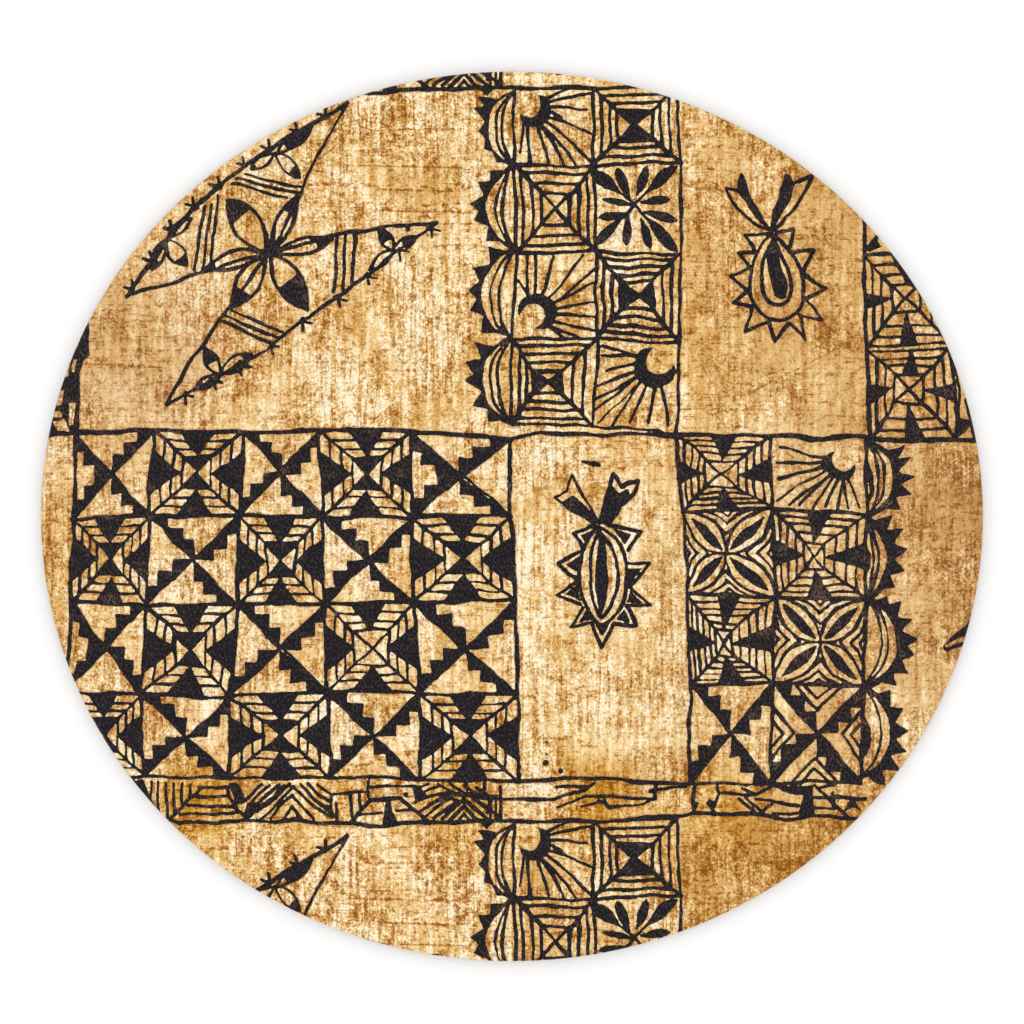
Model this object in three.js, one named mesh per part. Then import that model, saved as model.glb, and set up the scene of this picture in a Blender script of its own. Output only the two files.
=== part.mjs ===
// An oval mat cut from printed tapa cloth, as it lies on a table, face up.
// It is one sheet. Its face was pressed over a little where the cutting die came down, so the
// upper edge is softly rounded, and the lower edge is a crisp corner with a small round.
// Millimetres, +Z up out of the printed face, +X along the oval's long axis.
// The origin is the middle of the underside.

import * as THREE from "three";

// Driving dimensions.
const width = 203; // along X, the oval's long axis
const depth = 191.7; // along Y, the oval's short axis
const thickness = 3; // of the sheet, all over
const faceEdgeRadius = 1.1; // how softly the cut turns the printed face down
const underEdgeRadius = 0.35; // the lower corner of the cut
const edgeSteps = 5; // straight steps in the upper rounding
const underSteps = 3; // straight steps in the lower rounding
const segments = 144; // around the oval

// The cloth's finish: the middle of its mottled tan, and matte.
const clothColour = 0xc9954f;
const clothRoughness = 0.92;
const clothMetalness = 0;

// Points of a quarter circle of that radius about a centre, from one angle to another, in degrees.
function arcPoints(centreR, centreZ, radius, fromDeg, toDeg, steps) {
  return Array.from({ length: steps + 1 }, (_, i) => {
    const angle = THREE.MathUtils.degToRad(
      THREE.MathUtils.lerp(fromDeg, toDeg, i / steps),
    );
    return new THREE.Vector2(
      centreR + radius * Math.cos(angle),
      centreZ + radius * Math.sin(angle),
    );
  });
}

// Half of the sheet's section, from the middle of the underside round the cut to the middle of
// the face. It is turned about the upright axis, as a disc, and the disc is then made an oval.
function sheetSection() {
  const radius = width / 2;
  return [
    new THREE.Vector2(0, 0),
    ...arcPoints(
      radius - underEdgeRadius,
      underEdgeRadius,
      underEdgeRadius,
      -90,
      0,
      underSteps,
    ),
    ...arcPoints(
      radius - faceEdgeRadius,
      thickness - faceEdgeRadius,
      faceEdgeRadius,
      0,
      90,
      edgeSteps,
    ),
    new THREE.Vector2(0, thickness),
  ];
}

function tapaCloth() {
  const geometry = new THREE.LatheGeometry(sheetSection(), segments);
  geometry.rotateX(Math.PI / 2);
  geometry.scale(1, depth / width, 1);
  const material = new THREE.MeshStandardMaterial({
    color: clothColour,
    roughness: clothRoughness,
    metalness: clothMetalness,
  });
  const mesh = new THREE.Mesh(geometry, material);
  mesh.name = "tapa_cloth";
  return mesh;
}

const part = new THREE.Group();
part.add(tapaCloth());

export default part;
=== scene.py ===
# An oval mat cut from printed tapa cloth, lying face up on a pale table.
# The print is drawn on a chart whose squares are about 0.2155 mm wide: x runs to the right and
# y runs down. Every motif is painted there with two tools, a brush and a filled patch. The edge of
# the paint is then found as a line, and the sheet's face is cut along that line into triangles.
# In the tables of motifs a stroke or a patch is written as x, y, x, y and so on, in squares.

import math

import bpy
import numpy as np
from mathutils.geometry import delaunay_2d_cdt
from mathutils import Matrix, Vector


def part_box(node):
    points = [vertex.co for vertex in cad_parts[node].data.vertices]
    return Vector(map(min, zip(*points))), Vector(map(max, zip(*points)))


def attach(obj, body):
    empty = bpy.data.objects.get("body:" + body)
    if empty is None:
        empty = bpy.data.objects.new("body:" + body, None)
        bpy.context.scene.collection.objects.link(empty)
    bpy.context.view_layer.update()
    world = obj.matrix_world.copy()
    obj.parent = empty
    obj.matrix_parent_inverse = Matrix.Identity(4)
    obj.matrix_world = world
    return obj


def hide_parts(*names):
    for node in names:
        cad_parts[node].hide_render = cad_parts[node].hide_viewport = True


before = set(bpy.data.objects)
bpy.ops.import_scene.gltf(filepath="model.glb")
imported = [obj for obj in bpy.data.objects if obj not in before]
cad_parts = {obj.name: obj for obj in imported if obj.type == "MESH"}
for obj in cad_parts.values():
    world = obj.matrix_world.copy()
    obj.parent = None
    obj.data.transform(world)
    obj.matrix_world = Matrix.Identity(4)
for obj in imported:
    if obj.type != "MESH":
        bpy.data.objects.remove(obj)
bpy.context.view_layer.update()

chart = {
    "across": 942.1,  # squares over the oval's long axis
    "down": 889.8,  # squares over its short axis
    "middle": (512.06, 516.35),  # the square at the oval's middle
    "left": 36,  # first column that is painted
    "columns": 953,
    "top": 66,  # first row that is painted
    "repeat": 732,  # rows after which the print starts again
    "rows": 902,
}

hand = {
    "seed": 11,
    "sway": ((45, 0.8), (16, 0.2), (5, 0.06)),  # wander of a line: size of its waves, how far
    "pressure": ((24, 0.2), (4.5, 0.2)),  # swelling of a line: size, how much
    "aim": 0.5,  # how far a stroke's points miss their marks
    "load": 0.08,  # how much strokes differ in width
    "bleed": 1.6,  # how far wet strokes run together where they meet
    "spread": 0.6,  # how far a filled patch grows past its outline
}


# drawing tools

def softNoise(rows, columns, size, seed):
    # random values blurred by a bell curve a fifth as wide as size, with mean 0 and spread 1
    noise = np.random.default_rng(seed).standard_normal((rows, columns))
    across = np.fft.rfftfreq(columns)[None]
    down = np.fft.fftfreq(rows)[:, None]
    keep = np.exp(-2 * (math.pi * size / 5) ** 2 * (across**2 + down**2))
    noise = np.fft.irfft2(np.fft.rfft2(noise) * keep, (rows, columns))
    return (noise - noise.mean()) / noise.std()


def layered(layers, seed):
    # a sum of soft noises over one repeat of the chart
    return sum(
        amount * softNoise(chart["repeat"], chart["columns"], size, seed + i)
        for i, (size, amount) in enumerate(layers)
    )


class Paint:
    # how deep each square of one repeat lies inside the paint, in squares, less than 0 outside

    def __init__(self):
        row = np.arange(chart["repeat"])[:, None] + chart["top"]
        column = np.arange(chart["columns"])[None] + chart["left"]
        self.x = column + layered(hand["sway"], hand["seed"])
        self.y = row + layered(hand["sway"], hand["seed"] + 10)
        self.depth = np.full(self.x.shape, -9.0)
        self.random = np.random.default_rng(hand["seed"])

    def windows(self, points, reach):
        # the squares near some points, in each repeat that they reach, with the repeat's shift
        low = points.min(0) - reach
        high = points.max(0) + reach
        c0 = max(int(low[0]) - chart["left"], 0)
        c1 = min(int(high[0]) + 2 - chart["left"], chart["columns"])
        for shift in (-chart["repeat"], 0, chart["repeat"]):
            r0 = max(int(low[1] + shift) - chart["top"], 0)
            r1 = min(int(high[1] + shift) + 2 - chart["top"], chart["repeat"])
            if r0 < r1 and c0 < c1:
                yield (slice(r0, r1), slice(c0, c1)), shift

    def add(self, window, depth, light=False):
        # the deeper of the two, rounded where they meet; light paint takes away instead
        old = self.depth[window]
        sign = -1 if light else 1
        a, b = sign * old, depth
        share = np.clip(0.5 + (a - b) / (2 * hand["bleed"]), 0, 1)
        mixed = a * share + b * (1 - share) + hand["bleed"] * share * (1 - share) * 0.5
        self.depth[window] = sign * mixed

    def reach(self, window, shift, a, run):
        # how far a window's squares are from some straight pieces, and where along each piece
        x = self.x[window][None] - a[:, 0]
        y = self.y[window][None] - shift - a[:, 1]
        t = np.clip((x * run[:, 0] + y * run[:, 1]) / np.maximum((run**2).sum(1), 1e-6), 0, 1)
        return np.hypot(x - t * run[:, 0], y - t * run[:, 1]), t

    def brush(self, points, width, smooth=False, aim=1.0):
        # a stroke: its width less the distance to the nearest of its tapered pieces
        points = marks(points)
        width = np.broadcast_to(np.array(width, float), len(points)).copy()
        points += self.random.normal(0, hand["aim"] * aim, points.shape)
        width *= 1 + hand["load"] * self.random.normal()
        if smooth:
            points, width = curve(points, width)
        a, b = points[:-1, :, None, None], points[1:, :, None, None]
        wa, wb = width[:-1, None, None] / 2, width[1:, None, None] / 2
        for window, shift in self.windows(points, width.max() + 9):
            away, t = self.reach(window, shift, a, b - a)
            self.add(window, (wa + t * (wb - wa) - away).max(0))

    def patch(self, points, light=False, aim=1.0):
        # a filled shape: the distance to its nearest side, less than 0 outside it
        points = marks(points)
        points += self.random.normal(0, hand["aim"] * aim, points.shape)
        a = points[:, :, None, None]
        b = np.roll(points, -1, 0)[:, :, None, None]
        run = b - a
        slope = run[:, 0] / np.where(np.abs(run[:, 1]) < 1e-9, 1e-9, run[:, 1])
        for window, shift in self.windows(points, 9):
            away = self.reach(window, shift, a, run)[0].min(0)
            x, y = self.x[window], self.y[window] - shift
            crosses = (a[:, 1] > y) != (b[:, 1] > y)
            inside = (crosses & (x < a[:, 0] + (y - a[:, 1]) * slope)).sum(0) % 2 == 1
            self.add(window, np.where(inside, away, -away) + hand["spread"], light)


def curve(points, width, steps=6):
    # a smooth line through the points, on which each piece is a cubic between two of them
    points = np.asarray(points, float)
    ends = np.concatenate([points[:1] * 2 - points[1:2], points, points[-1:] * 2 - points[-2:-1]])
    t = (np.arange(steps) / steps)[None, :, None]
    p0, p1, p2, p3 = (ends[i : len(ends) - 3 + i, None] for i in range(4))
    line = 0.5 * (
        2 * p1 + (p2 - p0) * t + (2 * p0 - 5 * p1 + 4 * p2 - p3) * t**2
        + (3 * p1 - p0 - 3 * p2 + p3) * t**3
    )
    line = np.concatenate([line.reshape(-1, 2), points[-1:]])
    along = np.arange(len(line)) / steps
    return line, np.interp(along, np.arange(len(points)), width)


def marks(numbers):
    # x, y, x, y and so on as rows of points; rows of points stay as they are
    return np.array(numbers, float).reshape(-1, 2)


def point(x, y):
    return np.array((x, y), float)


def between(a, b, t):
    return np.asarray(a, float) * (1 - t) + np.asarray(b, float) * t


def cellPoint(corners, u, v):
    # the point that lies u across and v down an uneven four-sided cell
    nw, ne, se, sw = corners
    return between(between(nw, ne, u), between(sw, se, u), v)


def cellOf(nodes, row, column):
    # corners of one cell of a panel, clockwise from its upper left
    a, b = nodes[row], nodes[row + 1]
    return [point(*p) for p in (a[column], a[column + 1], b[column + 1], b[column])]


# motifs that several panels share

sides = ("top", "right", "bottom", "left")
unitCorners = ((0, 0), (1, 0), (1, 1), (0, 1))

motif = {
    "diagonal": 3.4,  # width of a pinwheel's diagonals
    "toothSteps": ((0.0, 0.42), (0.25, 0.74), (0.54, 1.0)),  # along half of a diagonal
}


def gridLines(paint, nodes, width):
    # the lines between a panel's cells, down its columns and along its rows
    for row in nodes:
        paint.brush(row, width, aim=0.6)
    for column in zip(*nodes):
        paint.brush(column, width, aim=0.6)


def pinwheel(paint, corners, plan):
    # two diagonals, with stepped black teeth on each half, towards the side that plan names
    nw, ne, se, sw = corners
    paint.brush([nw, se], motif["diagonal"])
    paint.brush([ne, sw], motif["diagonal"])
    for corner, side in zip(unitCorners, plan):
        for start, end in motif["toothSteps"]:
            p = between(corner, (0.5, 0.5), start)
            q = between(corner, (0.5, 0.5), end)
            third = (q[0], p[1]) if side in ("top", "bottom") else (p[0], q[1])
            paint.patch([cellPoint(corners, *c) for c in (p, q, third)], aim=1.4)


def web(paint, corners, inner, rings, fills=(), wedges=(0, 0, 0, 0), line=3.1):
    # nested four-sided lines round a small square, with diagonals from corner to corner, and on
    # each side a black triangle whose half base is given as a share of that side; the lines' places
    # may be given twice, for the level ones and for the upright ones
    if not isinstance(rings[0], tuple):
        rings = (rings, rings)
    x0, y0, x1, y1 = inner
    box = [point(x0, y0), point(x1, y0), point(x1, y1), point(x0, y1)]
    middle = sum(box) / 4
    for k, side in enumerate(sides):
        a, b = corners[k], corners[(k + 1) % 4]
        c, d = box[k], box[(k + 1) % 4]
        paint.brush([a, c], line + 0.5)
        paint.brush([c, d], line + 0.2)
        paint.brush([c, middle], line)
        for t in rings[k % 2]:
            paint.brush([between(a, c, t), between(b, d, t)], line)
        if side in fills:
            paint.patch([c, d, middle])
        wedge = wedges[k]
        if wedge:
            foot = between(a, b, 0.5)
            tip = between(c, d, 0.5)
            waist = between(foot, tip, 0.55)
            lean = between(a, b, wedge * 0.45) - a
            paint.patch([between(a, b, 0.5 - wedge), between(a, b, 0.5 + wedge),
                         waist + lean, tip, waist - lean], aim=1.2)


def innerBox(corners, low, high):
    # a smaller square inside a cell, as its left, top, right and bottom
    a = cellPoint(corners, *low)
    b = cellPoint(corners, *high)
    return (a[0], a[1], b[0], b[1])


def petal(paint, base, tip, width, line, black=1.0, full=0.9):
    # a leaf with two bowed outlines, filled from the share black of its length to the tip
    base, tip = point(*base), point(*tip)
    t = np.linspace(0, 1, 13)[:, None]
    run = tip - base
    across = point(-run[1], run[0]) / np.hypot(*run)
    spine = base + run * t
    half = across * width / 2 * np.sin(math.pi * t**full) ** 0.9
    left, right = spine + half, spine - half
    paint.brush(left, line, aim=0.2)
    paint.brush(right, line, aim=0.2)
    if black < 1:
        keep = t[:, 0] >= black
        paint.patch(np.concatenate([left[keep], right[keep][::-1]]), aim=0.2)


def leaf(paint, base, tip, width):
    # a solid leaf, rounded at its tip: a stroke as wide as a bow over its length
    t = np.linspace(0, 1, 8)
    widths = 2.6 + (width - 2.6) * np.sin(math.pi * t**1.35) ** 0.8
    paint.brush([between(base, tip, s) for s in t], widths, aim=0.2)


def sun(paint, middle, radius, turn, thick, rays, line=3.3):
    # a light disc held by a black crescent over the angles turn, with thin rays from it
    middle = point(*middle)
    first, last = (math.radians(a) for a in turn)
    angle = np.linspace(first, last, 15)
    way = np.stack([np.cos(angle), np.sin(angle)], 1)
    outer = radius + thick * np.sin(math.pi * np.linspace(0, 1, 15)) ** 0.7
    rim = middle + way * outer[:, None]
    paint.patch(np.concatenate([rim, (middle + way * radius)[::-1]]), aim=0.3)
    for end in marks(rays):
        out = end - middle
        out /= np.hypot(*out)
        start = rim[np.argmax(way @ out)]
        paint.brush([start, end], (line + 0.4, line - 0.3), aim=0.8)


def arcLine(a, b, reach, steps=16):
    # part of a circle from a to b that stands out to the left of the way from a to b by reach
    a, b = point(*a), point(*b)
    run = b - a
    half = np.hypot(*run) / 2
    along = run / (2 * half)
    out = point(along[1], -along[0])
    radius = (half**2 + reach**2) / (2 * reach)
    middle = between(a, b, 0.5) + out * (reach - radius)
    angle = np.linspace(-1, 1, steps + 1)[:, None] * 2 * math.atan(reach / half)
    return middle + radius * (along * np.sin(angle) + out * np.cos(angle))


def scallop(paint, a, b, reaches, tips, band):
    # nested bows from a to b, and outside them a black band with teeth that run out to tips
    bow = arcLine(a, b, reaches[0] + band, 60)
    paint.brush(arcLine(a, b, reaches[0] + band / 2), band, aim=0.3)
    for reach in reaches[1:]:
        paint.brush(arcLine(a, b, reach), 3.0, aim=0.3)
    tips = marks(tips)
    near = [int(np.argmin(np.hypot(*(bow - tip).T))) for tip in tips]
    step = (near[-1] - near[0]) / (len(near) - 1) / 2
    for tip, mark in zip(tips, near):
        low, high = max(int(mark - step), 0), min(int(mark + step + 1), 60)
        paint.patch([bow[low], tip, bow[high]], aim=0.6)


petalCell = {
    "leaf": (0.1, 0.82),  # where a petal's black leaf starts and ends
    "leafWidth": 0.34,  # share of the petal's width
    "chevrons": ((0.1, 0.56), (0.24, 0.33), (0.37, 0.13)),  # where each starts, and how deep it goes
}


def fourPetals(paint, corners, middle, width):
    # a black leaf inside an outlined one along each diagonal, with nested bowed chevrons between
    middle = point(*middle)
    for k in range(4):
        corner, following = corners[k], corners[(k + 1) % 4]
        petal(paint, middle, corner, width, 2.7)
        ends = [between(middle, corner, t) for t in petalCell["leaf"]]
        petal(paint, *ends, width * petalCell["leafWidth"], 2, black=0)
        side = between(corner, following, 0.5)
        for share, deep in petalCell["chevrons"]:
            tip = between(side, middle, deep)
            left, right = between(corner, following, share), between(corner, following, 1 - share)
            bowed = [between(between(p, tip, 0.5), side, 0.16) for p in (left, right)]
            paint.brush([left, bowed[0], tip], 2.9)
            paint.brush([right, bowed[1], tip], 2.9)


# the lower left panel: pinwheels and webs in turn

lowerLeft = {
    "nodes": (
        ((76.6, 434), (154.4, 430), (243.7, 432.5), (321.6, 430), (412.5, 432), (510, 438.5)),
        ((74, 518), (149.3, 515.6), (239.8, 515.6), (322.9, 518), (411.2, 517), (511, 515.6)),
        ((71.5, 602.3), (147.5, 604), (237.2, 604), (324.5, 604), (413, 603), (515, 601.3)),
        ((67, 693), (142, 693.6), (231.4, 696.8), (327.9, 691.2), (420.3, 692.7), (517, 694.2)),
        ((66, 777), (144.5, 776.5), (230.6, 777.5), (330, 777.5), (420.3, 779.5), (518.6, 781)),
    ),
    "turned": ("top", "right", "bottom", "left"),  # a regular pinwheel, from the upper left corner
    "uneven": {  # pinwheels that the painter turned another way, by row and column
        (0, 0): ("left", "top", "bottom", "left"),
        (0, 4): ("left", "top", "bottom", "left"),
        (2, 0): ("left", "top", "right", "left"),
    },
    "square": ((0.33, 0.31), (0.68, 0.68)),  # the small square in a web
    "rings": (0.36, 0.69),
    "wedges": (0.2, 0.26, 0.2, 0.26),  # half the bases of a web's black triangles
}


def paintLowerLeft(paint):
    nodes = lowerLeft["nodes"]
    gridLines(paint, nodes, 4.2)
    for row in range(4):
        for column in range(5):
            corners = cellOf(nodes, row, column)
            if (row + column) % 2 == 0:
                plan = lowerLeft["uneven"].get((row, column), lowerLeft["turned"])
                pinwheel(paint, corners, plan)
            else:
                fills = () if (row, column) == (2, 3) else ("top", "bottom")
                box = innerBox(corners, *lowerLeft["square"])
                web(paint, corners, box, lowerLeft["rings"], fills, lowerLeft["wedges"], 2.8)


# the upper middle panel: suns, webs and a leaf star

upperMiddle = {
    "nodes": (
        ((513, 89), (592, 89), (676, 87)),
        ((515.8, 167), (593.3, 165.7), (680, 163.3)),
        ((517, 254.5), (595.7, 252), (680.5, 256.3)),
        ((510.9, 339.7), (596.9, 338.5), (679.3, 343.3)),
        ((510.9, 423.3), (593.3, 425.7), (675.7, 432)),
    ),
    # row, column, small square, places of the lines, black parts
    "webs": (
        (0, 1, (617, 111.5, 653, 141), (0.34, 0.68), ("top", "bottom")),
        (1, 0, (542, 194, 569.5, 225), (0.28, 0.64), ()),
        (2, 1, (621, 281, 653, 309.5), ((0.2, 0.45, 0.72), (0.31, 0.66)), ("left", "right")),
        (3, 0, (534, 371, 562, 392), ((0.2, 0.46, 0.72), (0.36, 0.7)), ("left", "right")),
    ),
    # middle, radius, angles of the crescent, its thickness, ends of the rays
    "suns": (
        ((529, 104), 13.5, (-42, 128), 11, (569, 89, 591, 94, 587, 112, 560, 118, 594.5, 137, 592, 162,
         577.5, 164.5, 564, 164.5, 550, 164.5, 531, 164.5, 520.6, 154)),
        ((533.5, 318), 13.5, (190, 422), 11, (519, 281, 527, 257, 535, 256, 553, 257, 584, 256, 594.5,
         268, 593, 283, 596, 302, 596, 317, 596, 331, 579, 337, 565, 338)),
        ((660, 361), 14.5, (24, 236), 13, (600.6, 346, 600.6, 357, 604, 371, 597, 384.5, 596, 398, 596,
         410, 598, 423, 614, 424.5, 632, 423, 649, 423, 668, 424.5)),
    ),
    "starMiddle": (634, 204.5),
    # foot, tip and width of the star's leaves
    "leaves": (
        ((618, 193), (592, 170), 13), ((645, 192), (676, 167), 12), ((620, 217), (596, 246), 12),
        ((645, 218), (677, 253), 12), ((629, 200), (617, 170), 11), ((636, 196), (646, 169), 9.5),
        ((630, 204), (602, 200), 8.5), ((640, 202), (669, 199.5), 9), ((625, 213), (599, 219), 9.5),
        ((643, 212), (676, 222), 11), ((626, 214), (626, 245), 10), ((640, 218), (650, 250), 10.5),
    ),
}


def paintUpperMiddle(paint):
    nodes = upperMiddle["nodes"]
    gridLines(paint, nodes, 3.6)
    for row, column, box, rings, fills in upperMiddle["webs"]:
        web(paint, cellOf(nodes, row, column), box, rings, fills, line=3.8)
    for oneSun in upperMiddle["suns"]:
        sun(paint, *oneSun)
    for foot, *_ in upperMiddle["leaves"][:4]:
        paint.brush([upperMiddle["starMiddle"], foot], 3)
    for foot, tip, width in upperMiddle["leaves"]:
        leaf(paint, foot, tip, width)


# the scalloped borders

# lower end, upper end, how far the bows stand out, and tips of the teeth
leftScallops = (
    ((514, 167), (513, 92), (26, 18, 11.5), (497, 163, 484, 149, 477, 131, 474, 110, 479, 97)),
    ((515, 250), (514, 168), (27, 18, 11.5), (488, 242, 477, 221, 473, 204, 480, 184, 491, 171)),
    ((510, 337), (515, 251), (31, 23, 14), (484, 331, 471, 311, 469, 290, 474, 269, 489, 249)),
    ((510, 423), (510, 338), (27, 19.5, 12), (490, 422, 474, 407, 467, 380, 468, 363, 474, 341)),
)
# upper end, lower end, and the same
rightScallops = (
    ((867, 443), (866, 516), (26, 18, 12.5), (901, 445, 911, 458, 915, 478, 911, 495, 900, 510)),
    ((866, 517), (866, 599), (21, 13.5, 8.5), (892, 516, 902, 530, 906, 548, 903, 570, 894, 588)),
    ((866, 600), (861, 687), (33, 24, 17), (884, 597, 899, 603, 910, 620, 916, 639, 911, 654, 907, 672,
     896, 686)),
    ((861, 688), (860, 776), (29, 20), (890, 690, 902, 709, 908, 730, 906, 752, 898, 770, 884, 783)),
)
# black shapes inside the right bows
rightSlivers = (
    (868, 460, 874, 472, 875, 487, 868, 504, 870, 487), (861, 711, 869, 725, 870, 747, 861, 761),
    (867, 543, 871, 553, 871, 566, 867, 577),
)


def paintScallops(paint):
    for a, b, reaches, tips in leftScallops:
        scallop(paint, a, b, reaches, tips, 3.5)
    for a, b, reaches, tips in rightScallops:
        scallop(paint, a, b, reaches, tips, 5.5)
    for shape in rightSlivers:
        paint.patch(shape)


# the big four-pointed star

star = {
    # widths of the edges, the thorns at foot and tip, the stripes, the petals and the small leaves
    "edge": 4.2,
    "thornWidths": (4.0, 3.0),
    "stripe": 3.6,
    "petal": 3.9,
    "leaf": 3.1,
    "upperEdge": (127, 296, 190, 213, 264, 154, 347, 103),
    "lowerEdge": (437.5, 223, 345, 291.5, 248, 361, 166, 405),
    "innerEdges": (
        (347, 103, 324, 145, 298.5, 198, 271, 250), (437.5, 223, 378, 229, 334, 237, 270, 252),
        (166, 405, 184, 372, 229, 307, 268, 255), (127, 296, 176.5, 281, 225, 265.5, 268, 254),
    ),
    "thorns": 9,  # pairs along each outer edge
    "thorn": 9,  # length
    "stripes": (
        (243.7, 176, 301, 187), (234.7, 181, 299.7, 193), (232, 186, 285.7, 198), (339, 237, 333, 292),
        (347, 237, 343, 290), (356, 235, 352, 285), (231.4, 311, 283.7, 333), (222.4, 316, 279.8, 338),
        (220, 321, 271, 343), (218, 196, 210, 268), (211, 205, 203, 270), (205, 207, 194.4, 272),
    ),
    # foot, tip, width, where its black starts
    "petalPlaces": (
        ((268, 252), (227, 201), 27, 0.62), ((271, 249), (297, 196), 15, 0.66),
        ((272, 252), (334, 240), 16, 0.7), ((272, 254), (308, 310), 25, 0.5),
        ((267, 256), (231, 308), 22, 0.62), ((266, 253), (205, 268), 17, 0.8),
    ),
    # foot, tip, width, where its black starts, of the small leaves in the arms
    "leafPlaces": (
        ((278, 154), (312, 126), 13, 0.25), ((276, 153), (301, 178), 13, 0.6),
        ((274, 154), (251, 171), 10, 0.7), ((166, 240), (187, 266), 17, 0.6),
        ((168, 238), (192, 218), 9, 0.9), ((166, 240), (152, 268), 10, 0.9),
        ((394, 252), (379, 230), 12, 0.4), ((394, 252), (417, 238), 11, 0.4),
        ((394, 252), (370, 269), 10, 0.8), ((222, 375), (204, 348), 13, 0.5),
        ((222, 375), (252, 354), 13, 0.7), ((222, 375), (194, 390), 10, 0.6),
    ),
}


def paintStar(paint):
    for edge in (star["upperEdge"], star["lowerEdge"], *star["innerEdges"]):
        paint.brush(edge, star["edge"], smooth=True, aim=0.4)
    long = star["thorn"]
    for edge, way in ((star["upperEdge"], -1), (star["lowerEdge"], 1)):
        edge = marks(edge)
        line, _ = curve(edge, np.ones(len(edge)), 12)
        for t in np.linspace(0.05, 0.93, star["thorns"]):
            foot = line[int(t * (len(line) - 1))]
            for start, end in (((2, 0), (long, 2)), ((0, 2), (2, long))):
                ends = [foot - way * np.array(start), foot + way * np.array(end)]
                paint.brush(ends, star["thornWidths"])
    for stripe in star["stripes"]:
        paint.brush(stripe, star["stripe"], aim=0.6)
    for kind in ("petal", "leaf"):
        for foot, tip, width, black in star[kind + "Places"]:
            petal(paint, foot, tip, width, star[kind], black=black, full=1.0)


# the teardrop and the almond, each with two forked leaves at its head and spikes all round

pendant = {
    # widths of the rings, of the leaves' outlines, and of a spike at its feet and tip
    "ring": 4.3,
    "leaf": 3.8,
    "spike": (4.1, 3.5, 4.1),
    "splash": (583, 462, 592, 463, 599, 465),
}
teardrop = {
    "rings": (
        (770, 236, 761, 246, 754, 264, 750, 281, 752, 300, 761, 314, 775, 321, 789, 319, 799, 310, 803,
         294, 801, 276, 793, 256, 782, 243, 770, 236),
        (772, 241, 766, 256, 762, 274, 763, 290, 769, 302, 778, 306, 787, 302, 791, 291, 788, 277, 785,
         262, 778, 249, 772, 241),
    ),
    "black": (
        (772, 241, 767, 252, 768, 264, 771, 285, 774, 296, 780, 300, 785, 298, 786, 288, 782, 270, 779,
         256),
        (740, 174, 746, 181, 752, 198, 769, 231, 761, 224, 745, 200, 738, 191, 738.6, 181),
        (786, 174, 790, 178, 793, 185, 789, 198, 779, 220, 769, 231, 773, 212, 779, 190),
    ),
    "outlines": (
        (738, 191, 726, 188, 737, 208, 758, 226, 770, 232),
        (791, 184, 811, 177, 804, 192, 795, 208, 781, 224, 770, 233),
    ),
    "spikes": (
        (769, 235, 744, 236, 754, 251), (755, 253, 737, 253, 751, 269), (750, 269, 729, 277, 748, 291),
        (747, 291, 732, 302, 751, 307), (752, 307, 744, 331, 767, 323), (769, 322, 775, 342, 788, 324),
        (789, 324, 803, 340, 800, 315), (799, 316, 823, 320, 805, 299), (805, 298, 826, 288, 803, 276),
        (802, 272, 814, 251, 790, 251), (790, 247, 793, 230, 775, 234),
    ),
}
almond = {
    "rings": (
        (600, 527, 588, 539, 581, 559, 579, 575, 581, 593, 587, 610, 600, 624, 611, 617, 622, 603, 626,
         585, 626, 565, 620, 545, 609, 532, 600, 527),
        (600, 531, 593, 545, 590, 563, 590, 579, 593, 599, 598, 612, 602, 616, 610, 604, 617, 586, 618,
         571, 614, 554, 606, 539, 600, 531),
    ),
    "black": (
        (601, 526, 599, 548, 595, 570, 596, 590, 601, 613, 606, 596, 608, 575, 605, 548),
        (561, 502, 572, 496, 583, 505, 600, 523, 594, 525, 580, 517, 566, 509),
        (609, 485, 620, 493, 628, 488, 630, 495, 620, 507, 610, 525, 600, 524, 606, 500),
    ),
    "outlines": (
        (600, 524, 588, 505, 578, 487, 571, 475, 567, 484, 566, 491, 554, 498, 566, 509, 596, 524),
        (601, 522, 606, 499, 611, 481, 613, 475, 622, 487, 627, 483, 638, 481, 634, 493, 622, 505, 609,
         526),
    ),
    "spikes": (
        (596, 526, 573, 534, 583, 551), (579, 553, 557, 565, 577, 579), (578, 583, 557, 595, 578, 604),
        (581, 607, 570, 626, 594, 623), (592, 624, 602, 648, 612, 623), (613, 622, 637, 625, 627, 605),
        (626, 604, 651, 604, 630, 587), (629, 586, 650, 563, 628, 562), (628, 549, 640, 532, 610, 525),
    ),
}
# dots of paint: place and size
spots = (
    (544.6, 762, 7), (561, 772, 5.4), (546.5, 742.5, 2.2), (572, 766.5, 2.2), (545.5, 753, 1.6),
    (408, 230.5, 5.4),
)


def paintPendants(paint):
    for one in (teardrop, almond):
        for ring in one["rings"]:
            paint.brush(ring, pendant["ring"], smooth=True, aim=0.3)
        for shape in one["black"]:
            paint.patch(shape, aim=0.4)
        for line in one["outlines"]:
            paint.brush(line, pendant["leaf"], aim=0.4)
        for spike in one["spikes"]:
            paint.brush(spike, pendant["spike"], aim=0.5)
            if one is almond:
                a, tip, b = marks(spike)
                inner = between(between(a, b, 0.5), tip, 0.55)
                paint.patch([between(a, b, 0.2), inner, between(a, b, 0.8)])
    for x, y, size in spots:
        paint.brush([(x, y), (x + 0.6, y)], size, aim=0)
    paint.brush(pendant["splash"], (2.6, 5, 4))


# the lower right panel

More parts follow.
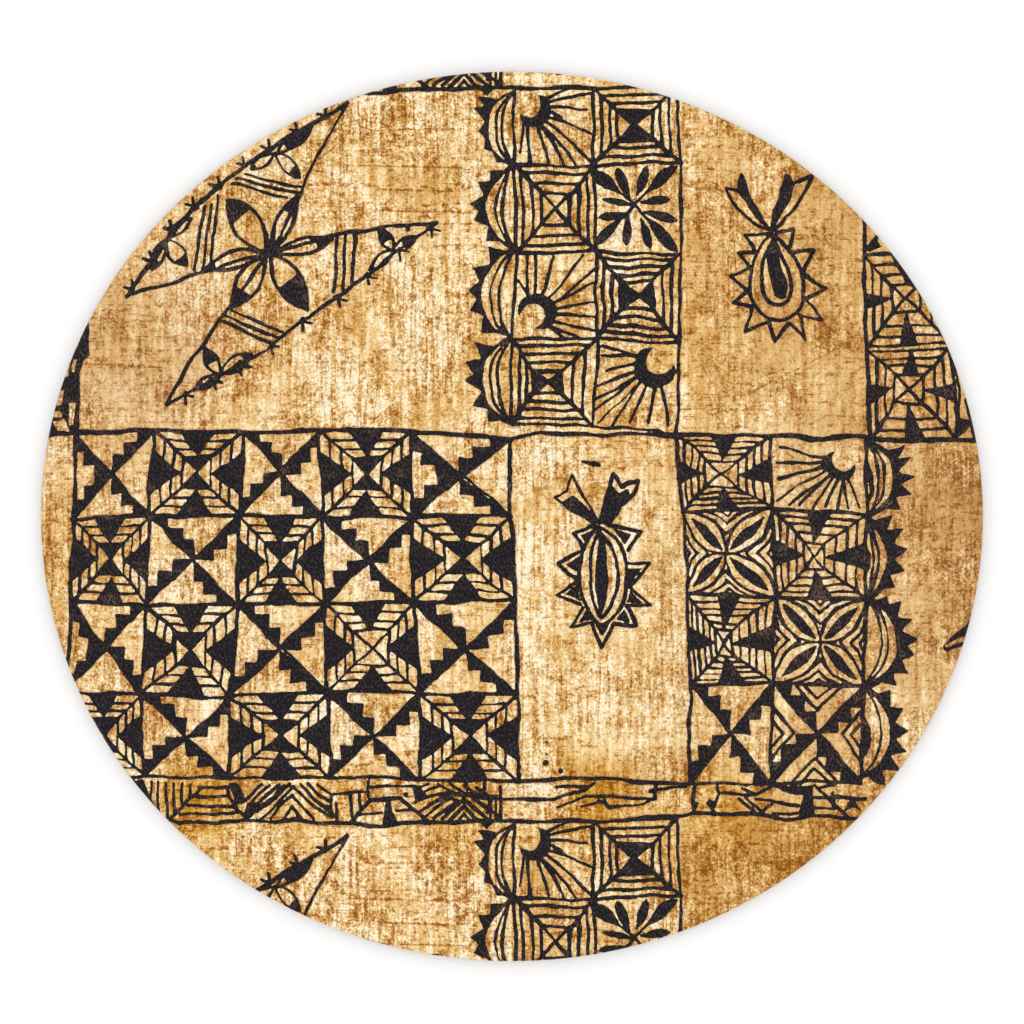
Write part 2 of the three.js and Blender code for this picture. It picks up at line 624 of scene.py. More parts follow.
lowerRight = {
    "nodes": (
        ((676, 433), (770.7, 436.4), (866, 438)),
        ((682.7, 511.6), (771.9, 509), (866.3, 514)),
        ((686.5, 593), (774.5, 597), (866.3, 599.6)),
        ((689, 684), (773, 683), (862.5, 685.5)),
        ((689, 782.5), (769.4, 783), (861, 783)),
    ),
    # row, column, small square, places of the lines, half bases of the black triangles
    "webs": (
        (0, 0, (706, 461, 738, 488), (0.25, 0.5, 0.76), (0.14, 0.16, 0.14, 0.14)),
        (1, 1, (804, 543, 824, 568), (0.22, 0.45, 0.72), (0.13, 0.16, 0.15, 0.15)),
        (2, 0, (716, 630, 732, 655), (0.2, 0.4, 0.6, 0.8), (0.13, 0.16, 0.15, 0.15)),
    ),
    "sun": (
        (843, 460), 12.5, (20, 222), 8.5,
        (780, 448, 779, 463, 780, 479, 776, 501, 789, 505, 800, 506, 813, 508, 825, 507, 836.6, 509.6,
         847, 509, 858, 507),
    ),
    "petals": ((1, 0, (724.7, 552.4)), (2, 1, (819, 642))),  # row, column, middle
    "chevrons": ((0.15, 0.27), (0.27, 0.5)),  # half width and depth of those in the last cell
}


def paintLowerRight(paint):
    nodes = lowerRight["nodes"]
    gridLines(paint, nodes, 4.0)
    for row, column, box, rings, wedges in lowerRight["webs"]:
        web(paint, cellOf(nodes, row, column), box, rings, wedges=wedges, line=2.9)
    sun(paint, *lowerRight["sun"])
    for row, column, middle in lowerRight["petals"]:
        fourPetals(paint, cellOf(nodes, row, column), middle, 26)
    pinwheel(paint, cellOf(nodes, 3, 0), lowerLeft["turned"])
    corners = cellOf(nodes, 3, 1)
    pinwheel(paint, corners, lowerLeft["turned"])
    middle = cellPoint(corners, 0.5, 0.5)
    for k in range(4):
        a, b = corners[k], corners[(k + 1) % 4]
        for half, deep in lowerRight["chevrons"]:
            tip = between(between(a, b, 0.5), middle, deep)
            paint.brush([between(a, b, 0.5 - half), tip, between(a, b, 0.5 + half)], 3.6)


# the strip at the right, and the one at the left edge

sideStrips = {
    # corners, small square, places of the lines, half bases of the black triangles
    "cells": (
        (((863, 256), (955, 252), (950, 343), (867, 346)), (891, 285.5, 919, 313), (0.3, 0.62), (0, 0,
         0.1, 0.09)),
        (((868, 352.5), (948, 348), (958, 440), (870, 441)), (894, 376, 922, 403), (0.3, 0.6), (0, 0.11,
         0.13, 0.11)),
    ),
    "black": (
        (865, 249, 877, 237, 877, 243, 881, 247.5, 877, 250.5, 868, 252),
        (891, 254.5, 894, 264, 898, 271, 903, 280, 905, 285, 920, 292, 925, 285, 900, 250),
        (943, 647, 950, 639, 960, 629, 972, 617, 984, 625, 976, 636, 958, 637, 950, 643),
        (910, 348, 916, 376, 901, 377), (958, 420, 973, 421, 968, 431, 960, 438),
        (88, 323, 89.5, 332, 88.5, 345, 87, 355, 84, 360, 81, 348, 81, 337),
        (82, 345, 70, 352, 50, 400, 40, 440, 78, 433, 79, 400),
    ),
    # bare places in the black at the left edge
    "light": (
        (74, 361, 77, 360, 76.5, 371, 74, 371), (66, 367, 70.5, 366, 69, 376, 65, 378),
        (59, 392, 63.5, 391, 62, 404, 58, 405), (70, 404, 75.5, 404, 73.5, 424, 70.5, 424),
        (52, 411, 60, 411, 62, 416, 50, 417), (53, 421, 64, 420, 70, 431, 58, 431),
        (77.5, 343, 80, 343, 82, 350, 79, 349),
    ),
    "lines": (
        (864, 250, 879, 235), (945, 647, 950, 649, 965, 644, 978, 642), (949, 346, 958, 395, 958, 440),
        (966, 398, 976, 440), (80.5, 344, 79, 400, 77, 434),
    ),
}


def paintSideStrips(paint):
    for corners, box, rings, wedges in sideStrips["cells"]:
        corners = [point(*c) for c in corners]
        paint.brush(corners[:2], 3.2)
        paint.brush(corners[1:], 3.6)
        web(paint, corners, box, rings, wedges=wedges)
    for shape in sideStrips["black"]:
        paint.patch(shape)
    for shape in sideStrips["light"]:
        paint.patch(shape, light=True)
    for line in sideStrips["lines"]:
        paint.brush(line, 4.2)


# the narrow strip that runs across the cloth

strip = {
    "widths": (4.2, 3.8, 3.2, 3.5),  # of the upper edge, the lower edge, the uprights, the strokes
    "top": (516, 781, 545, 780, 581, 777, 605, 779, 633, 781, 690, 782.5),
    "bottom": (
        110, 820, 170, 820, 180, 823, 226, 819.6, 280, 821, 336, 821.6, 352, 822.4, 370, 826, 400,
        823.6, 428, 821.6, 470, 820, 505, 820.5, 545, 820.5, 571, 819.5, 597, 820.5, 625, 820.5, 649,
        817, 675, 816, 705, 813, 761, 814, 785, 817.6, 825, 817, 857, 818, 930, 818,
    ),
    # x, upper and lower end
    "uprights": (
        (152, 783, 812), (159, 783, 815), (167, 782, 817), (175, 782, 812), (183, 782, 806),
        (191, 783, 797), (337, 801, 820), (352, 794, 815), (361, 793, 809), (468, 783, 792),
        (486, 782, 790), (491, 800, 819), (496.5, 800, 819), (502, 786, 820), (693.5, 784, 811),
    ),
    "strokes": (
        (169, 819, 183, 806, 202, 788), (200, 787, 227, 786), (198, 795.5, 227, 795),
        (188, 805, 236, 805), (180, 814.5, 242, 811), (227, 786, 228, 796, 236, 806, 248, 818),
        (262, 784, 244, 798), (270, 784, 252, 798, 247, 808), (280, 783, 260, 801, 249, 817),
        (289, 783, 276, 797, 256, 811), (292, 786, 280, 800, 260, 818), (292, 786, 306, 798, 330, 815),
        (292, 796, 280, 806, 270, 818), (292, 796, 302, 806, 316, 818), (292, 809, 284, 819),
        (292, 809, 301, 819), (300, 784, 314, 798, 330, 808), (308, 784, 320, 794, 331, 801),
        (318, 784, 332, 794, 370, 793), (369, 783, 370, 798), (370, 788, 417, 786),
        (352, 821, 362, 810, 372, 800, 400, 798, 410, 806, 428, 820), (358, 815, 384, 811),
        (398, 810, 415, 809), (332, 796, 332, 816), (416, 802, 434, 796, 446, 792),
        (418, 812, 434, 803, 446, 796, 464, 803), (424, 818, 448, 800), (434, 818, 456, 802),
        (442, 818, 464, 799, 488, 818), (450, 819, 464, 806, 478, 819), (457, 820, 464, 813, 471, 820),
        (474, 799, 500, 815), (416, 790, 430, 784), (424, 793, 440, 785), (438, 784, 456, 793),
        (449, 783, 466, 794), (464, 784, 478, 797), (478, 788, 492, 798), (492, 800, 488, 812),
        (497, 798, 555, 798, 583, 790, 594, 781), (558, 787, 585, 785),
        (558, 807, 585, 795, 613, 797, 655, 798), (582, 805, 603, 800, 608, 806, 645, 804, 651, 798),
        (650, 790, 686, 786), (715, 786, 718, 794, 713, 807), (718, 794, 755, 794, 771, 786),
        (757, 798, 799, 806), (743, 786, 753, 793), (739, 799, 753, 811),
        (745, 797, 761, 812, 773, 802), (813, 798, 833, 800), (813, 809, 835, 809),
        (833, 794, 833, 808), (815, 787, 834, 804, 847, 817), (821, 788, 835, 786),
        (833, 798, 865, 797), (655, 785, 655, 798), (707, 803, 713, 811), (773, 812, 797, 812),
        (284, 784, 276, 795, 258, 806),
    ),
    "black": (
        (246, 801, 258, 801, 254, 806, 250, 818, 244, 814), (229, 783, 237, 783, 244, 800, 235, 803),
        (320, 803, 332, 806, 331, 814), (383, 825, 388, 801, 391, 801, 399, 825),
        (404, 793, 408, 793, 408, 797, 404, 797), (414, 788, 420, 786, 428, 795, 416, 803),
        (428, 797, 446, 789, 462, 793, 480, 795, 500, 795, 490, 800, 462, 797, 446, 795),
        (480, 821, 488, 829, 497, 820), (133, 780, 142, 780, 158, 812, 158, 820),
        (773, 786, 815, 787, 812, 795, 793, 793), (798, 817, 805, 794, 811, 794, 815, 817),
        (693, 811, 699, 803, 695, 802), (705, 804, 711, 809, 716, 803, 709, 799),
        (843, 810, 851, 797, 858, 808, 851, 805),
    ),
}


def paintStrip(paint):
    top, bottom, upright, stroke = strip["widths"]
    paint.brush(strip["top"], top, aim=0.5)
    paint.brush(strip["bottom"], bottom, aim=0.5)
    for x, upper, lower in strip["uprights"]:
        paint.brush([(x, upper), (x, lower)], upright, aim=0.7)
    for line in strip["strokes"]:
        paint.brush(line, stroke, aim=0.7)
    for shape in strip["black"]:
        paint.patch(shape)


# the long lines that divide the cloth

longLines = (
    (50, 433, 76, 432, 154, 430, 244, 432.5, 322, 430, 412, 432, 512, 438.5),
    (500, 439, 536, 434, 690, 435, 771, 436, 810, 439, 847, 436, 866, 438, 980, 441),
    (861, 90, 861.5, 219, 864, 296, 866, 348, 868, 395, 870, 440),
)


def paintLongLines(paint):
    for line in longLines:
        paint.brush(line, 4.4, aim=0.4)


def paintPrint():
    paint = Paint()
    for panel in (paintLongLines, paintLowerLeft, paintUpperMiddle, paintScallops, paintStar,
                  paintPendants, paintLowerRight, paintSideStrips, paintStrip):
        panel(paint)
    depth = paint.depth + layered(hand["pressure"], hand["seed"] + 20)
    depth = np.where(paint.depth < -6, paint.depth, depth)
    return depth[np.arange(chart["rows"]) % chart["repeat"]]


# the sheet's mesh

sheet = {
    "thickness": 0.003,
    "faceRound": 0.0011,  # radius that turns the face down at the cut
    "underRound": 0.00035,  # radius that turns the cut in to the underside
    "wallTop": 0.0011,  # height of the cut's upper row of quads
    "roundSteps": 5,  # parts of the face's rounding
    "rings": [0, 2, 3, 4, 5],  # steps of it at which points stand round the oval
    "underSteps": 3,  # parts of the underside's rounding
    "edgeStep": 5.0,  # squares between points round the oval
    "fill": 9.0,  # squares between points inside an even area
    "rest": 1.6,  # how close to the paint's edge such a point may lie
    "rim": 0.4,  # mm between the face's rounding and the first such point
    "underFill": (8.0, 7.0),  # mm between points of the underside, across and down
    "underReach": (100, 96),  # mm from the middle to which they are laid
    "underRim": 3,  # mm that they keep from the outline
    "clear": 0.15,  # mm from the outline that the points of the paint's line keep
    "straight": (0.1, 0.14, 0.18),  # squares by which the paint's line may be simplified, in turn
}

low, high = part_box("tapa_cloth")
halfWide, halfDeep = (high.x - low.x) / 2, (high.y - low.y) / 2
squareWide, squareDeep = 2 * halfWide / chart["across"], 2 * halfDeep / chart["down"]


def paintEdge(depth):
    # the line where the paint's depth is 0: points on the chart's squares, and pairs of them
    across = (depth[:, :-1] > 0) != (depth[:, 1:] > 0)
    down = (depth[:-1] > 0) != (depth[1:] > 0)
    acrossId = np.full(across.shape, -1)
    acrossId[across] = np.arange(across.sum())
    downId = np.full(down.shape, -1)
    downId[down] = np.arange(down.sum()) + across.sum()
    r, c = np.nonzero(across)
    share = depth[r, c] / (depth[r, c] - depth[r, c + 1])
    points = [np.stack([c + np.clip(share, 0.1, 0.9), r], 1)]
    r, c = np.nonzero(down)
    share = depth[r, c] / (depth[r, c] - depth[r + 1, c])
    points.append(np.stack([c, r + np.clip(share, 0.1, 0.9)], 1))
    points = np.concatenate(points) + (chart["left"], chart["top"])
    around = np.stack([acrossId[:-1], downId[:, 1:], acrossId[1:], downId[:, :-1]], -1)
    count = (around >= 0).sum(-1)
    pairs = around[count == 2]
    pairs = pairs[pairs >= 0].reshape(-1, 2)
    four = around[count == 4]
    return points, np.concatenate([pairs, four[:, :2], four[:, 2:]])


def simplified(points, pairs, tolerance):
    # leaves out points that lie near the straight way between their two neighbours
    n = len(points)
    order = np.argsort(pairs.ravel(), kind="stable")
    owner = pairs.ravel()[order]
    other = pairs[:, ::-1].ravel()[order]
    start = np.searchsorted(owner, np.arange(n))
    whole = np.bincount(pairs.ravel(), minlength=n) == 2
    a = other[np.minimum(start, len(other) - 1)]
    b = other[np.minimum(start + 1, len(other) - 1)]
    run = points[b] - points[a]
    length = np.hypot(*run.T)
    x, y = (points - points[a]).T
    off = np.abs(run[:, 0] * y - run[:, 1] * x) / np.maximum(length, 1e-9)
    rank = np.random.default_rng(hand["seed"]).permutation(n) + np.where(off < tolerance, 0, 2 * n)
    gone = whole & (off < tolerance) & (length < 6) & (length > 0.3)
    gone &= (rank < rank[a]) & (rank < rank[b])
    kept = ~gone
    joined = np.stack([a[gone], b[gone]], 1)
    pairs = np.concatenate([pairs[kept[pairs].all(1)], joined])
    number = np.cumsum(kept) - 1
    return points[kept], number[pairs]


def ovalRing(inset, step):
    # points at even angles on the oval, that many metres inside its outline
    wide, deep = halfWide - inset, halfDeep - inset
    count = int(2 * math.pi * halfWide / squareWide / step)
    angle = np.linspace(0, 2 * math.pi, count, endpoint=False)
    return np.stack([wide * np.cos(angle), deep * np.sin(angle)], 1)


def toSheet(points):
    # chart squares to metres on the sheet
    x = (points[:, 0] - chart["middle"][0]) * squareWide
    y = (chart["middle"][1] - points[:, 1]) * squareDeep
    return np.stack([x, y], 1)


def toChart(x, y):
    return x / squareWide + chart["middle"][0], chart["middle"][1] - y / squareDeep


def depthAt(depth, x, y):
    # the paint's depth at points of the sheet, mixed from the four squares round each
    column, row = toChart(x, y)
    column = np.clip(column - chart["left"], 0, depth.shape[1] - 1.001)
    row = np.clip(row - chart["top"], 0, depth.shape[0] - 1.001)
    c, r = column.astype(int), row.astype(int)
    u, v = column - c, row - r
    upper = depth[r, c] * (1 - u) + depth[r, c + 1] * u
    lower = depth[r + 1, c] * (1 - u) + depth[r + 1, c + 1] * u
    return upper * (1 - v) + lower * v


def edgeInset(x, y):
    # about how far inside the oval's outline a point is, in metres
    size = np.hypot(x / halfWide, y / halfDeep)
    reach = np.hypot(x, y) / np.maximum(size, 1e-9)
    return (1 - size) * np.where(size > 1e-6, reach, halfDeep)


def faceHeight(x, y):
    # level, then a quarter circle down to the outline
    short = np.clip(1 - edgeInset(x, y) / sheet["faceRound"], 0, 1)
    return sheet["thickness"] - sheet["faceRound"] * (1 - np.sqrt(1 - short**2))


def triangulate(points, pairs):
    corners, _, triangles, *_ = delaunay_2d_cdt(
        [tuple(p) for p in points.tolist()], [tuple(p) for p in pairs.tolist()], [], 0, 1e-4
    )
    return np.array([tuple(c) for c in corners]), np.array(triangles)


def staggered(columns, rows):
    # a net of points on which every other row is shifted by half a gap
    column, row = np.meshgrid(columns, rows)
    return column + (np.arange(len(rows)) % 2)[:, None] * (columns[1] - columns[0]) / 2, row


def ringPairs(count, first):
    own = np.arange(count)
    return np.stack([own, (own + 1) % count], 1) + first


def insideOval(points, margin):
    # which points, in millimetres, lie inside the outline by more than margin millimetres
    return edgeInset(points[:, 0] / 1000, points[:, 1] / 1000) * 1000 > margin


def offOutline(points):
    # moves points that lie too near the outline straight in or out, so that no sliver forms there
    inset = edgeInset(*points.T / 1000) * 1000
    least = sheet["clear"]
    wanted = np.where(np.abs(inset) < least, np.copysign(least, inset), inset)
    return points * (1 + (inset - wanted) / np.hypot(*points.T))[:, None]


def faceMesh(depth):
    # the printed face seen from above: its points in millimetres, and its triangles
    points, pairs = paintEdge(depth)
    for tolerance in sheet["straight"]:
        points, pairs = simplified(points, pairs, tolerance)
    points = offOutline(toSheet(points) * 1000)
    near = insideOval(points, -2)
    number = np.cumsum(near) - 1
    pairs = number[pairs[near[pairs].all(1)]]
    points = points[near]
    steps = np.linspace(0, math.pi / 2, sheet["roundSteps"] + 1)[sheet["rings"]]
    for inset in sheet["faceRound"] * (1 - np.cos(steps)):
        ring = ovalRing(inset, sheet["edgeStep"]) * 1000
        pairs = np.concatenate([pairs, ringPairs(len(ring), len(points))])
        points = np.concatenate([points, ring])
    gap = sheet["fill"]
    right, bottom = chart["left"] + chart["columns"] + 1, chart["top"] + chart["rows"]
    # 0.87 of a gap between rows makes equal-sided triangles
    columns, rows = np.arange(chart["left"], right, gap), np.arange(chart["top"], bottom, gap * 0.87)
    column, row = staggered(columns, rows)
    spread = np.random.default_rng(hand["seed"]).uniform(-1, 1, (2, *row.shape))
    inner = np.stack([(column + spread[0]).ravel(), (row + spread[1]).ravel()], 1)
    inner = toSheet(inner)
    clear = np.abs(depthAt(depth, *inner.T)) > sheet["rest"]
    inner = inner[clear] * 1000
    inner = inner[insideOval(inner, sheet["faceRound"] * 1000 + sheet["rim"])]
    points = np.concatenate([points, inner])
    corners, triangles = triangulate(points, pairs)
    middle = corners[triangles].mean(1)
    triangles = triangles[insideOval(middle, -0.004)]
    used, triangles = np.unique(triangles, return_inverse=True)
    return corners[used], triangles.reshape(-1, 3)


def outerLoop(triangles, corners):
    # the points on the mesh's outer edge, in order round the oval
    sidesOf = np.concatenate([triangles[:, [0, 1]], triangles[:, [1, 2]], triangles[:, [2, 0]]])
    key = np.sort(sidesOf, 1)
    _, first, count = np.unique(key, axis=0, return_index=True, return_counts=True)
    loop = np.unique(sidesOf[first[count == 1]])
    angle = np.arctan2(corners[loop, 1] / halfDeep, corners[loop, 0] / halfWide)
    return loop[np.argsort(angle)]


def buildSheet(depth):
    corners, triangles = faceMesh(depth)
    x, y = corners.T / 1000
    z = faceHeight(x, y)
    loop = outerLoop(triangles, corners)
    angle = np.arctan2(y[loop] / halfDeep, x[loop] / halfWide)
    n = len(loop)
    # the cut: straight down, then a quarter circle in to the underside
    steps = np.linspace(0, math.pi / 2, sheet["underSteps"] + 1)
    insets = np.concatenate([[0], sheet["underRound"] * (1 - np.cos(steps))])
    heights = np.concatenate([[sheet["wallTop"]], sheet["underRound"] * (1 - np.sin(steps))])
    wallX = np.cos(angle)[None] * (halfWide - insets[:, None])
    wallY = np.sin(angle)[None] * (halfDeep - insets[:, None])
    wallZ = np.repeat(heights, n)
    verts = np.concatenate(
        [np.stack([x, y, z], 1), np.stack([wallX.ravel(), wallY.ravel(), wallZ], 1)]
    )
    rings = [loop] + [len(corners) + n * i + np.arange(n) for i in range(len(insets))]
    quads = []
    for upper, lower in zip(rings[:-1], rings[1:]):
        quads.append(np.stack([upper, lower, np.roll(lower, -1), np.roll(upper, -1)], 1))
    wall = np.concatenate(quads)
    # the underside: a level sheet of larger triangles
    underRim = verts[rings[-1], :2] * 1000
    columns, rows = (np.arange(-reach, reach + 1, gap)
                     for reach, gap in zip(sheet["underReach"], sheet["underFill"]))
    column, row = staggered(columns, rows)
    inner = np.stack([column.ravel(), row.ravel()], 1)
    inner = inner[insideOval(inner, sheet["underRim"])]
    points = np.concatenate([underRim, inner])
    underCorners, underTriangles = triangulate(points, ringPairs(n, 0))
    middle = underCorners[underTriangles].mean(1)
    underTriangles = underTriangles[insideOval(middle, -1)]
    added = underCorners[n:] / 1000
    base = len(verts) - n
    verts = np.concatenate([verts, np.column_stack([added, np.zeros(len(added))])])
    underTriangles = underTriangles[:, ::-1] + base
    return verts, triangles, wall, underTriangles


def store(mesh, name, values, domain="POINT"):
    # an attribute of the mesh, which the finishes read by its name
    data = mesh.attributes.new(name, "FLOAT", domain).data
    data.foreach_set("value", values.astype(np.float32))


def read(items, name, kind=float, size=1):
    # one property of all a mesh's points, corners or faces, as an array
    values = np.zeros(len(items) * size, kind)
    items.foreach_get(name, values)
    return values.reshape(-1, size) if size > 1 else values


def makeSheet(depth):
    verts, face, wall, under = buildSheet(depth)
    mesh = bpy.data.meshes.new("tapaCloth")
    mesh.from_pydata(verts.tolist(), [], face.tolist() + wall.tolist() + under.tolist())
    mesh.update()
    piece = bpy.data.objects.new("tapa_cloth_print", mesh)
    bpy.context.scene.collection.objects.link(piece)
    middle = verts[face].mean(1)
    black = np.zeros(len(mesh.polygons))
    black[: len(face)] = depthAt(depth, middle[:, 0], middle[:, 1]) > 0
    store(mesh, "ink", black, "FACE")
    deep = depthAt(depth, verts[:, 0], verts[:, 1])
    deep[verts[:, 2] < sheet["thickness"] / 2] = -5
    store(mesh, "depth", deep)
    mesh.polygons.foreach_set("use_smooth", np.ones(len(mesh.polygons), bool))
    slots = np.zeros(len(mesh.polygons), np.int32)
    slots[len(face) :] = 1
    mesh.polygons.foreach_set("material_index", slots)
    count = len(face) + 2 * len(wall) + len(under)
    print(f"sheet made, {count} triangles, {int(black.sum())} of them black")
    return piece


bakeMap = {
    "disc": 0.49,  # radius of the face's disc
    "corner": 0.075,  # middle of the underside's disc, both ways
    "small": 0.06,  # radius of the underside's disc
    "under": -0.97,  # how far down a side has to face to be part of the underside
}


def layOut(piece):
    # a map of its own for the bake: the face and the cut as one disc, whose radius is the way
    # over the surface from its middle, and the underside as a small disc in a corner
    mesh = piece.data
    corner = read(mesh.loops, "vertex_index", int)
    up = read(mesh.polygons, "normal", size=3)[:, 2]
    below = np.repeat(up < bakeMap["under"], read(mesh.polygons, "loop_total", int))
    x, y, z = read(mesh.vertices, "co", size=3)[corner].T
    inset = np.clip(edgeInset(x, y), 0, 1)
    angle = np.arctan2(y / halfDeep, x / halfWide)
    curl = sheet["faceRound"]
    quarter = math.pi / 2
    reach = halfWide - curl
    bend = np.arccos(np.clip(1 - np.minimum(inset, curl) / curl, -1, 1))
    upper = np.minimum(halfWide - inset, reach) + curl * (quarter - bend)
    drop = np.clip(sheet["thickness"] - curl - z, 0, 1)
    lower = reach + curl * quarter + drop + np.minimum(inset, 0.0004) * 0.6
    radius = np.where(z < sheet["thickness"] - curl - 1e-5, lower, upper)
    radius = bakeMap["disc"] * radius / (reach + curl * quarter + sheet["thickness"])
    spot, small = bakeMap["corner"], bakeMap["small"]
    u = np.where(below, spot + small * x / halfWide, 0.5 + radius * np.cos(angle))
    v = np.where(below, spot + small * y / halfDeep, 0.5 + radius * np.sin(angle))
    data = mesh.uv_layers.new(name="OFBake").data
    data.foreach_set("uv", np.stack([u, v], 1).astype(np.float32).ravel())


# finishes

class Value:
    # one socket of a material, so that sums on it are written as plain expressions

    def __init__(self, shader, socket):
        self.shader = shader
        self.socket = socket

    def __add__(self, other):
        return self.shader.math("ADD", self, other)

    def __sub__(self, other):
        return self.shader.math("SUBTRACT", self, other)

    def __rsub__(self, other):
        return self.shader.math("SUBTRACT", other, self)

    def __mul__(self, other):
        return self.shader.math("MULTIPLY", self, other)

    def __truediv__(self, other):
        return self.shader.math("DIVIDE", self, other)

    __radd__ = __add__
    __rmul__ = __mul__


class Shader:
    # a material's node tree, filled one node at a time

    def __init__(self, name):
        self.material = bpy.data.materials.new(name)
        self.material.use_nodes = True
        self.tree = self.material.node_tree
        self.tree.nodes.clear()

    def node(self, kind, sockets=None, settings=None, out=0):
        # a node of that type: its settings first, then its sockets' values or links; gives a result
        node = self.tree.nodes.new("ShaderNode" + kind)
        for name, value in (settings or {}).items():
            if name == "stops":
                self.ramp(node.color_ramp, value)
            else:
                setattr(node, name, value)
        for name, value in (sockets or {}).items():
            if isinstance(value, Value):
                self.tree.links.new(value.socket, node.inputs[name])
            else:
                node.inputs[name].default_value = value
        return Value(self, node.outputs[out]) if len(node.outputs) else None

    def ramp(self, ramp, stops):
        while len(ramp.elements) < len(stops):
            ramp.elements.new(0.5)
        for element, (place, colour) in zip(ramp.elements, stops):
            element.position = place
            element.color = colour

    def math(self, operation, a, b=0.0):
        return self.node("Math", {0: a, 1: b}, {"operation": operation})

    def within(self, value, low, high):
        # 0 below low, 1 above high, and a smooth way between
        sockets = {"Value": value, "From Min": low, "From Max": high}
        return self.node("MapRange", sockets, {"interpolation_type": "SMOOTHSTEP"})

    def seam(self, value, width):
        # 1 where the value is one half, down to 0 where it is off by that width
        return 1 - self.within(self.math("ABSOLUTE", value - 0.5), 0.0, width)

    def mix(self, share, a, b):
        return self.node("Mix", {0: share, 6: a, 7: b}, {"data_type": "RGBA"}, out=2)

    def noise(self, place, scale, detail=2.0, rough=0.5, warp=0.0):
        names = ("Vector", "Scale", "Detail", "Roughness", "Distortion")
        return self.node("TexNoise", dict(zip(names, (place, scale, detail, rough, warp))))

    def streaks(self, place, across, down, detail, rough, warp=0.0, upward=1.0, turn=0.0):
        # a noise with its own scale each way
        scale = {"Vector": place, "Scale": (across, down, upward), "Rotation": (0, 0, turn)}
        return self.noise(self.node("Mapping", scale), 1, detail, rough, warp)

    def parts(self, place):
        return [self.node("SeparateXYZ", {"Vector": place}, out=i) for i in (0, 1)]

    def finish(self, colour, roughness, specular, bump=None):
        sockets = {"Base Color": colour, "Roughness": roughness, "Specular IOR Level": specular}
        if bump:
            names = ("Strength", "Distance", "Height")
            sockets["Normal"] = self.node("Bump", dict(zip(names, bump)))
        self.node("OutputMaterial", {"Surface": self.node("BsdfPrincipled", sockets)})
        return self.material


def linear(red, green, blue):
    # a colour as read in the picture, 0 to 255, as the share of the studio's light that it returns
    parts = [c / 255 for c in (red, green, blue)]
    parts = [p / 12.92 if p < 0.04045 else ((p + 0.055) / 1.055) ** 2.4 for p in parts]
    return (*[p / cloth["lamps"] for p in parts], 1)


